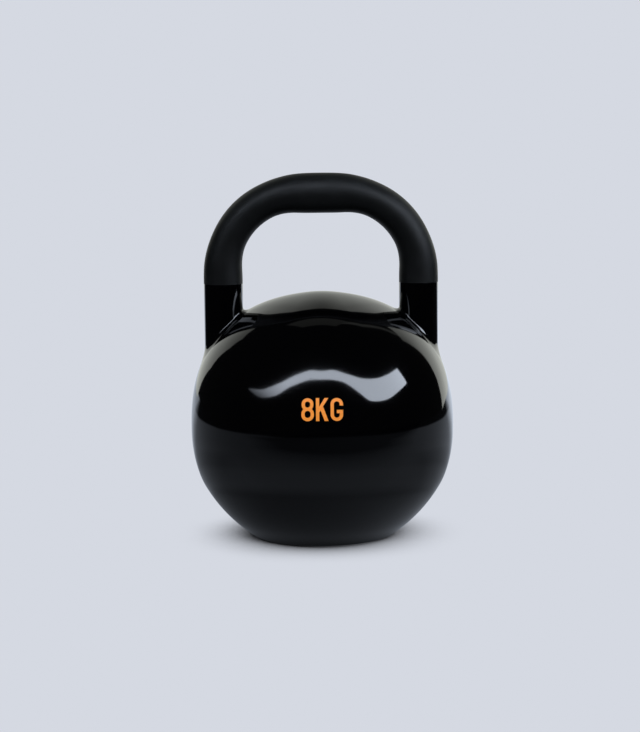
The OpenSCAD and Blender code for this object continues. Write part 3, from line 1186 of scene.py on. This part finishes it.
def mirrored_floor(tree):
    """The floor as the gloss shows it, with its light and shade painted in: dark under the ball,
    where a shadow is painted, palest a hand's breadth away, bright again behind and dark in front and
    far off.
    """

    def times(a, b):
        return worked(tree, "MULTIPLY", a, b)

    def peak(a, b):
        return worked(tree, "MAXIMUM", a, b)

    def mixed(share, a, b):
        node = tree.nodes.new("ShaderNodeMix")
        for i, value in zip((0, 2, 3), (share, a, b)):
            tree.links.new(value, node.inputs[i])
        return node.outputs[0]

    # Distances from the ball's axis, and forward along a line a little right of the middle
    front_bearing = math.radians(10)
    place = tree.nodes.new("ShaderNodeTexCoord").outputs["Object"]
    away = measured(tree, "LENGTH", place)
    front_line = (math.sin(front_bearing), -math.cos(front_bearing), 0.0)
    forward = measured(tree, "DOT_PRODUCT", place, front_line)
    split = axes(tree)
    x, y = split["X"], split["Y"]
    size_x = worked(tree, "ABSOLUTE", x)

    # Painted rings of light and shade round the ball, each at a distance from its axis
    reach = 0.6
    levels = [
        (0.052, 0.02), (0.068, 0.21), (0.125, 0.26), (0.165, 0.46), (0.205, 0.46), (0.26, 0.39),
        (0.34, 0.36),
    ]
    rings = tone_run(
        tree, ramp(tree, away, 0.0, 1.0, 0.0, reach), COOL, 0.02, 0.35,
        [(distance / reach, level) for distance, level in levels],
    )

    # Painted shade: dark in front but for the far left, and dark far off but for the wedge behind
    behind = ramp(tree, worked(tree, "SUBTRACT", y, size_x), 0.0, 1.0, 0.0, 0.3)
    far_left = ramp(tree, x, 0.9, 0.0, -0.9, -0.45)
    front = peak(ramp(tree, forward, 1.0, 0.25, 0.2, 0.46), far_left)
    far = peak(ramp(tree, away, 1.0, 0.05, 1.1, 1.3), behind)

    # Painted light and shade: brighter to the right, steeply so close to the ball, and dimmer beside
    # and behind it
    outer = ramp(tree, away, 0.0, 1.0, 0.09, 0.16)
    close_by = ramp(tree, x, 0.72, 1.36, -0.06, 0.06)
    further = ramp(tree, x, 0.82, 1.3, -0.3, 0.5)
    across = mixed(outer, close_by, further)
    beside = times(outer, ramp(tree, y, 0.0, 1.0, -0.11, -0.03))
    beside = times(beside, ramp(tree, away, 1.0, 0.0, 0.26, 0.4))

    # Painted light: two to three times as bright behind, most so away from the middle
    extra = times(behind, ramp(tree, size_x, 1.1, 2.2, 0.1, 0.6))
    level = times(times(front, far), times(across, ramp(tree, beside, 1.0, 0.64)))
    level = times(level, worked(tree, "ADD", extra, 1.0))
    return scaled(tree, rings, level)


def contact_shadow(tree):
    """Depth of the painted contact shadow, from occlusion and weighted by place: deepest close to the
    ball, more so behind and to the left.
    """
    shade = tree.nodes.new("ShaderNodeAmbientOcclusion")
    shade.samples = 16
    shade.inputs["Distance"].default_value = 0.09
    depth = worked(tree, "POWER", ramp(tree, shade.outputs["AO"], 1.0, 0.0, 0.09, 0.66), 1.6)
    place = axes(tree)
    sideways = ramp(tree, place["X"], 1.12, 0.85, -0.07, 0.07)
    backwards = ramp(tree, place["Y"], 0.98, 1.75, -0.04, 0.06)
    weight = worked(tree, "MULTIPLY", sideways, backwards)
    return ramp(tree, worked(tree, "MULTIPLY", depth, weight), 0.0, 1.0)


def make_floor(studio):
    """A pale floor with a tight painted contact shadow and, for the gloss, painted light and shade.
    Its far side lets a view from below through.
    """
    floor_size, drop = 8.0, 0.0002
    deselect_all()
    bpy.ops.mesh.primitive_plane_add(size=floor_size, location=(0.0, 0.0, -drop))
    floor = bpy.context.object
    floor.name = floor.data.name = "floor"
    mat, tree, surface = empty_material("floor")
    # The camera sees the floor glow pale, with its contact shadow painted into the colour
    seen = tree.nodes.new("ShaderNodeEmission")
    darkest = shaded(studio.pale, 0.006)
    tree.links.new(blend(tree, contact_shadow(tree), studio.pale, darkest), seen.inputs["Color"])
    # For the gloss the floor glows with its painted light and shade
    mirrored = tree.nodes.new("ShaderNodeEmission")
    tree.links.new(mirrored_floor(tree), mirrored.inputs["Color"])
    matt = tree.nodes.new("ShaderNodeBsdfDiffuse")
    matt.inputs["Color"].default_value = (*studio.pale, 1)
    clear = tree.nodes.new("ShaderNodeBsdfTransparent")
    path = tree.nodes.new("ShaderNodeLightPath").outputs
    far_side = tree.nodes.new("ShaderNodeNewGeometry").outputs["Backfacing"]
    upper = either(tree, path["Is Glossy Ray"], matt.outputs[0], mirrored.outputs[0])
    upper = either(tree, path["Is Camera Ray"], upper, seen.outputs[0])
    tree.links.new(either(tree, far_side, upper, clear.outputs[0]), surface)
    floor.data.materials.append(mat)


def make_lights(studio):
    """A soft overhead light for matt surfaces, and the cards and the lamp that the gloss mirrors."""
    data = bpy.data.lights.new("overhead", "AREA")
    data.shape = "RECTANGLE"
    data.size, data.size_y = 1.6, 1.2
    data.energy = 9.0
    overhead = bpy.data.objects.new("overhead", data)
    bpy.context.scene.collection.objects.link(overhead)
    overhead.location = (-0.25, -0.8, 1.5)
    aim = Vector((0.0, 0.0, 0.12)) - overhead.location
    overhead.rotation_mode = "QUATERNION"
    overhead.rotation_quaternion = aim.to_track_quat("-Z", "Y")
    overhead.visible_glossy = False
    overhead.visible_camera = False

    ribbon_lamp(studio)
    behind, top, wall = 2.0, 3.3, wall_material()
    corners = [(-1.5, 0.0), (2.45, 0.0), (3.5, top), (-3.2, top)]
    card("back_wall", behind, corners, wall)
    corners = [(-1.5, 0.0), (-2.45, 0.85), (-3.15, 2.3), (-3.2, top)]
    card("back_wing", behind, corners, wall)
    overhead_y, low = 0.9, 2.75
    ceiling = glow_material("high_glow", (0.7, 0.9), 0.22, 0.4, WARM)
    corners = [(-1.0, low), (0.75, low), (0.75, 5.0), (-1.0, 5.0)]
    card("high_card", overhead_y, corners, ceiling)
    corners = [(0.75, low), (1.42, 1.6), (1.48, 1.8), (0.75, 3.6)]
    card("high_strip", overhead_y, corners, ceiling)


# The panel, and what is registered


class KETTLEBELL_PT_panel(bpy.types.Panel):
    """Lists the kettlebell's sizes, colours and pieces"""

    bl_idname = "KETTLEBELL_PT_panel"
    bl_label = "Kettlebell"
    bl_space_type = "VIEW_3D"
    bl_region_type = "UI"
    bl_category = "Kettlebell"

    def draw(self, context):
        for group in GROUPS:
            box = self.layout.box()
            values = getattr(context.scene, group)
            for name in values.__annotations__:
                box.prop(values, name)
        for operator in OPERATORS:
            self.layout.operator(operator.bl_idname)


GROUPS = {
    "kettlebell_ball": KettlebellBall,
    "kettlebell_handle": KettlebellHandle,
    "kettlebell_look": KettlebellLook,
    "kettlebell_studio": KettlebellStudio,
}
OPERATORS = (
    KETTLEBELL_OT_stage,
    KETTLEBELL_OT_coat,
    KETTLEBELL_OT_grip,
    KETTLEBELL_OT_mark,
    KETTLEBELL_OT_base,
    KETTLEBELL_OT_inside,
)


def register():
    """Adds the classes, and one group of settings of each kind to every scene."""
    for cls in (*GROUPS.values(), *OPERATORS, KETTLEBELL_PT_panel):
        bpy.utils.register_class(cls)
    for name, group in GROUPS.items():
        setattr(bpy.types.Scene, name, PointerProperty(type=group))


def unregister():
    """Takes away what register adds."""
    for name in GROUPS:
        delattr(bpy.types.Scene, name)
    for cls in (KETTLEBELL_PT_panel, *reversed(OPERATORS), *reversed(GROUPS.values())):
        bpy.utils.unregister_class(cls)


def main():
    """Builds the studio and the pieces."""
    register()
    bpy.context.scene.view_settings.view_transform = "Standard"
    bpy.ops.kettlebell.stage()
    bpy.ops.kettlebell.coat()
    bpy.ops.kettlebell.grip()
    bpy.ops.kettlebell.mark()
    bpy.ops.kettlebell.base()
    bpy.ops.kettlebell.inside()


if __name__ == "__main__":
    main()
